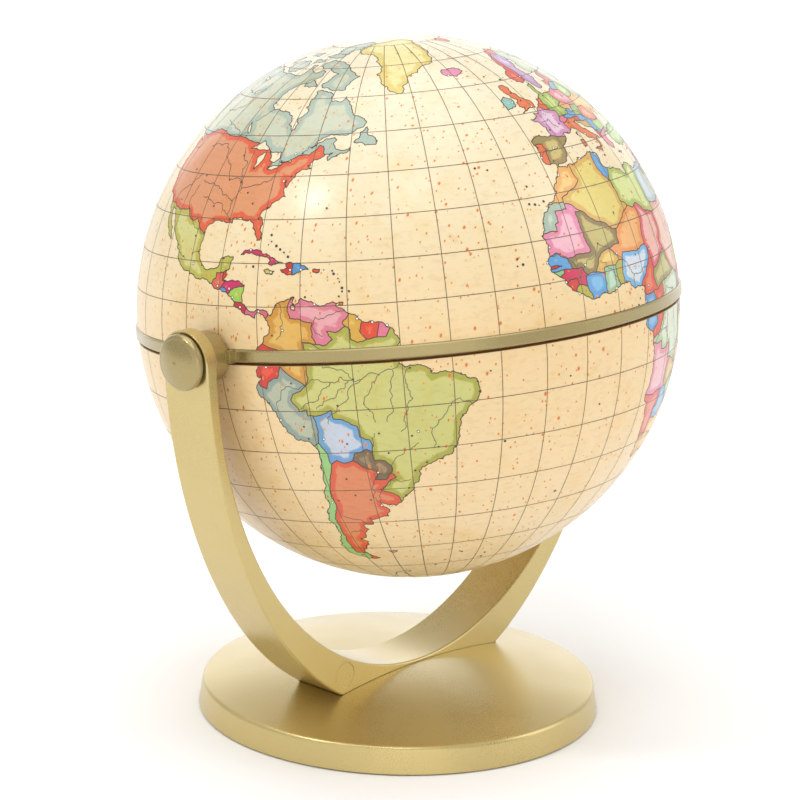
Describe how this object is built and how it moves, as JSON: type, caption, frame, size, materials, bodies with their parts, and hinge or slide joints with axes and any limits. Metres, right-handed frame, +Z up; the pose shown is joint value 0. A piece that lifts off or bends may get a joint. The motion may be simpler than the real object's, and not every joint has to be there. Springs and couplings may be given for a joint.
{
  "type": "desktop globe",
  "caption": "Small desktop globe that spins in a gold equator ring and tilts between the ends of a U-shaped arm on a round domed base.",
  "frame": {"origin": "centre of the foot pad's underside, on the table", "axes": "+Z up, X along the tilt axis through both pivots; the ball's north end leans towards +Y at rest"},
  "size_m": [0.1264, 0.106, 0.1355],
  "materials": {
    "gold_paint": "satin champagne-gold lacquer on moulded plastic",
    "ballast_steel": "plain zinc-plated",
    "black_plastic": "matt",
    "pad_rubber": "foamed, matt",
    "screw_steel": "zinc-plated",
    "nylon": "natural nylon",
    "insert_brass": "turned",
    "shell_plastic": "moulded",
    "map_print": "printed and varnished"
  },
  "bodies": {
    "stand": {"base_cover": "gold_paint", "base_weight": "ballast_steel", "base_plate": "black_plastic", "foot_pad": "pad_rubber", "plate_screws": "screw_steel", "arm": "gold_paint", "arm_screws": "screw_steel"},
    "ring": {"equator_ring": "gold_paint", "boss_insert_left": "insert_brass", "boss_insert_right": "insert_brass", "friction_washer_left": "nylon", "friction_washer_right": "nylon", "spring_washer_left": "screw_steel", "spring_washer_right": "screw_steel", "pivot_screw_left": "screw_steel", "pivot_screw_right": "screw_steel", "pivot_cap_left": "gold_paint", "pivot_cap_right": "gold_paint"},
    "globe": {"joining_collar": "shell_plastic", "north_shell": "shell_plastic", "south_shell": "shell_plastic", "north_map": "map_print", "south_map": "map_print"}
  },
  "joints": [
    {"name": "ring_tilt", "type": "hinge", "parent": "stand", "child": "ring", "pos_m": [0, 0, 0.0825], "axis": [1, 0, 0], "continuous": true},
    {"name": "globe_spin", "type": "hinge", "parent": "ring", "child": "globe", "pos_m": [0, 0, 0.0825], "axis": [0, 0.1478, 0.989], "continuous": true}
  ]
}
